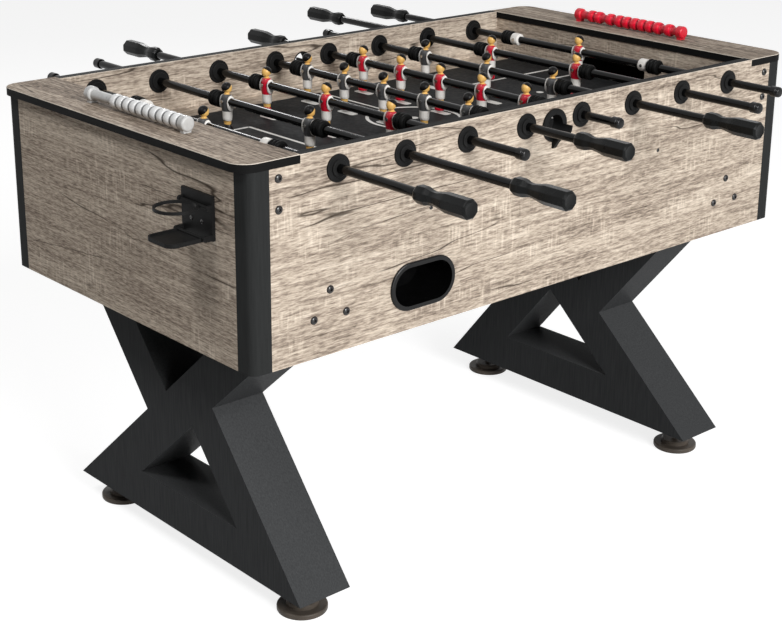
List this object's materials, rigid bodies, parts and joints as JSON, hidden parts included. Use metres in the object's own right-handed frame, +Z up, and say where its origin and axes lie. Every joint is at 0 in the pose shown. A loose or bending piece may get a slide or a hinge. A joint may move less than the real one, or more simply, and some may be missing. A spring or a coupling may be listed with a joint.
{
  "type": "foosball table",
  "caption": "Free-standing foosball table: panelled cabinet on crossed leg frames, with sliding and spinning player rods, goals, ball returns, score beads and folding cup holders.",
  "frame": {"origin": "on the floor, under the middle of the whole table with its rods as they stand (the cabinet's middle is 13.5 mm to the near side)", "axes": "+X along the table to the right end, +Y across it to the far side, +Z up"},
  "size_m": [1.56, 1.5416, 0.9105],
  "materials": {
    "laminate": "grey oak laminate, satin",
    "black_laminate": "black laminate, satin",
    "field_board": "printed board, satin",
    "pine": "bare timber",
    "hardboard": "bare board",
    "black_plastic": "moulded, satin",
    "handle_plastic": "moulded, satin",
    "red_men": "painted moulding",
    "dark_men": "painted moulding",
    "rod_steel": "black gloss",
    "rubber": "moulded",
    "white_beads": "moulded, gloss",
    "red_beads": "moulded, gloss",
    "counter_rails": "moulded, gloss",
    "black_fasteners": "blackened steel",
    "bracket_steel": "black powder coat",
    "foot_plastic": "moulded, matte"
  },
  "bodies": {
    "table": {"side_panels": "laminate", "end_panels": "laminate", "goal_walls": "laminate", "end_tops": "laminate", "playfield": "field_board", "playfield_cleats": "pine", "corner_posts": "black_laminate", "corner_brackets": "bracket_steel", "rod_bushings": "black_plastic", "bushing_nuts": "black_plastic", "serve_cups": "black_plastic", "ball_return_trays": "black_plastic", "ball_runways": "hardboard", "cup_holder_plates": "black_plastic", "score_rails": "counter_rails", "leg_long_diagonals": "black_laminate", "leg_short_beams": "black_laminate", "bolts_and_screws": "black_fasteners"},
    "rod_1_slider": {"rod_1_bumpers": "rubber"},
    "rod_1_spinner": {"rod_1": "rod_steel", "rod_1_men": "dark_men", "rod_1_handle": "handle_plastic"},
    "rod_2_slider": {"rod_2_bumpers": "rubber"},
    "rod_2_spinner": {"rod_2": "rod_steel", "rod_2_men": "dark_men", "rod_2_handle": "handle_plastic"},
    "rod_3_slider": {"rod_3_bumpers": "rubber"},
    "rod_3_spinner": {"rod_3": "rod_steel", "rod_3_men": "red_men", "rod_3_handle": "handle_plastic"},
    "rod_4_slider": {"rod_4_bumpers": "rubber"},
    "rod_4_spinner": {"rod_4": "rod_steel", "rod_4_men": "dark_men", "rod_4_handle": "handle_plastic"},
    "rod_5_slider": {"rod_5_bumpers": "rubber"},
    "rod_5_spinner": {"rod_5": "rod_steel", "rod_5_men": "red_men", "rod_5_handle": "handle_plastic"},
    "rod_6_slider": {"rod_6_bumpers": "rubber"},
    "rod_6_spinner": {"rod_6": "rod_steel", "rod_6_men": "dark_men", "rod_6_handle": "handle_plastic"},
    "rod_7_slider": {"rod_7_bumpers": "rubber"},
    "rod_7_spinner": {"rod_7": "rod_steel", "rod_7_men": "red_men", "rod_7_handle": "handle_plastic"},
    "rod_8_slider": {"rod_8_bumpers": "rubber"},
    "rod_8_spinner": {"rod_8": "rod_steel", "rod_8_men": "red_men", "rod_8_handle": "handle_plastic"},
    "left_cup_ring": {"left_cup_ring": "black_plastic"},
    "left_cup_tray": {"left_cup_tray": "black_plastic"},
    "right_cup_ring": {"right_cup_ring": "black_plastic"},
    "right_cup_tray": {"right_cup_tray": "black_plastic"},
    "left_score_beads": {"left_score_beads": "white_beads"},
    "right_score_beads": {"right_score_beads": "red_beads"},
    "left_near_levelling_foot": {"left_near_levelling_foot": "foot_plastic"},
    "left_far_levelling_foot": {"left_far_levelling_foot": "foot_plastic"},
    "right_near_levelling_foot": {"right_near_levelling_foot": "foot_plastic"},
    "right_far_levelling_foot": {"right_far_levelling_foot": "foot_plastic"}
  },
  "joints": [
    {"name": "rod_1_slide", "type": "slide", "parent": "table", "child": "rod_1_slider", "axis": [0, 1, 0], "range_m": [-0.1193, 0.1273]},
    {"name": "rod_1_spin", "type": "hinge", "parent": "rod_1_slider", "child": "rod_1_spinner", "pos_m": [-0.5145, -0.0175, 0.845], "axis": [0, 1, 0], "continuous": true},
    {"name": "rod_2_slide", "type": "slide", "parent": "table", "child": "rod_2_slider", "axis": [0, 1, 0], "range_m": [-0.1843, 0.1803]},
    {"name": "rod_2_spin", "type": "hinge", "parent": "rod_2_slider", "child": "rod_2_spinner", "pos_m": [-0.3675, -0.0115, 0.845], "axis": [0, 1, 0], "continuous": true},
    {"name": "rod_3_slide", "type": "slide", "parent": "table", "child": "rod_3_slider", "axis": [0, 1, 0], "range_m": [-0.1283, 0.1123]},
    {"name": "rod_3_spin", "type": "hinge", "parent": "rod_3_slider", "child": "rod_3_spinner", "pos_m": [-0.2205, -0.0055, 0.845], "axis": [0, 1, 0], "continuous": true},
    {"name": "rod_4_slide", "type": "slide", "parent": "table", "child": "rod_4_slider", "axis": [0, 1, 0], "range_m": [-0.0783, 0.0583]},
    {"name": "rod_4_spin", "type": "hinge", "parent": "rod_4_slider", "child": "rod_4_spinner", "pos_m": [-0.0735, -0.0035, 0.845], "axis": [0, 1, 0], "continuous": true},
    {"name": "rod_5_slide", "type": "slide", "parent": "table", "child": "rod_5_slider", "axis": [0, 1, 0], "range_m": [-0.0703, 0.0663]},
    {"name": "rod_5_spin", "type": "hinge", "parent": "rod_5_slider", "child": "rod_5_spinner", "pos_m": [0.0735, -0.0115, 0.845], "axis": [0, 1, 0], "continuous": true},
    {"name": "rod_6_slide", "type": "slide", "parent": "table", "child": "rod_6_slider", "axis": [0, 1, 0], "range_m": [-0.1383, 0.1023]},
    {"name": "rod_6_spin", "type": "hinge", "parent": "rod_6_slider", "child": "rod_6_spinner", "pos_m": [0.2205, 0.0045, 0.845], "axis": [0, 1, 0], "continuous": true},
    {"name": "rod_7_slide", "type": "slide", "parent": "table", "child": "rod_7_slider", "axis": [0, 1, 0], "range_m": [-0.2073, 0.1573]},
    {"name": "rod_7_spin", "type": "hinge", "parent": "rod_7_slider", "child": "rod_7_spinner", "pos_m": [0.3675, 0.0115, 0.845], "axis": [0, 1, 0], "continuous": true},
    {"name": "rod_8_slide", "type": "slide", "parent": "table", "child": "rod_8_slider", "axis": [0, 1, 0], "range_m": [-0.1493, 0.0973]},
    {"name": "rod_8_spin", "type": "hinge", "parent": "rod_8_slider", "child": "rod_8_spinner", "pos_m": [0.5145, 0.0125, 0.845], "axis": [0, 1, 0], "continuous": true},
    {"name": "left_cup_tray_fold", "type": "hinge", "parent": "table", "child": "left_cup_tray", "pos_m": [-0.714, -0.2575, 0.74], "axis": [0, 1, 0], "range_deg": [0, 90]},
    {"name": "left_cup_ring_fold", "type": "hinge", "parent": "table", "child": "left_cup_ring", "pos_m": [-0.705, -0.2575, 0.79], "axis": [0, 1, 0], "range_deg": [0, 90]},
    {"name": "right_cup_tray_fold", "type": "hinge", "parent": "table", "child": "right_cup_tray", "pos_m": [0.714, 0.2305, 0.74], "axis": [0, -1, 0], "range_deg": [0, 90]},
    {"name": "right_cup_ring_fold", "type": "hinge", "parent": "table", "child": "right_cup_ring", "pos_m": [0.705, 0.2305, 0.79], "axis": [0, -1, 0], "range_deg": [0, 90]},
    {"name": "left_score_slide", "type": "slide", "parent": "table", "child": "left_score_beads", "axis": [0, 1, 0], "range_m": [0, 0.0647]},
    {"name": "right_score_slide", "type": "slide", "parent": "table", "child": "right_score_beads", "axis": [0, 1, 0], "range_m": [-0.0117, 0.0187]},
    {"name": "left_near_foot_screw", "type": "slide", "parent": "table", "child": "left_near_levelling_foot", "axis": [0, 0, -1], "range_m": [0, 0.012]},
    {"name": "left_far_foot_screw", "type": "slide", "parent": "table", "child": "left_far_levelling_foot", "axis": [0, 0, -1], "range_m": [0, 0.012]},
    {"name": "right_near_foot_screw", "type": "slide", "parent": "table", "child": "right_near_levelling_foot", "axis": [0, 0, -1], "range_m": [0, 0.012]},
    {"name": "right_far_foot_screw", "type": "slide", "parent": "table", "child": "right_far_levelling_foot", "axis": [0, 0, -1], "range_m": [0, 0.012]}
  ],
  "couplings": [
    {"joint": "left_cup_ring_fold", "follows": "left_cup_tray_fold", "ratio": 1},
    {"joint": "right_cup_ring_fold", "follows": "right_cup_tray_fold", "ratio": 1}
  ]
}
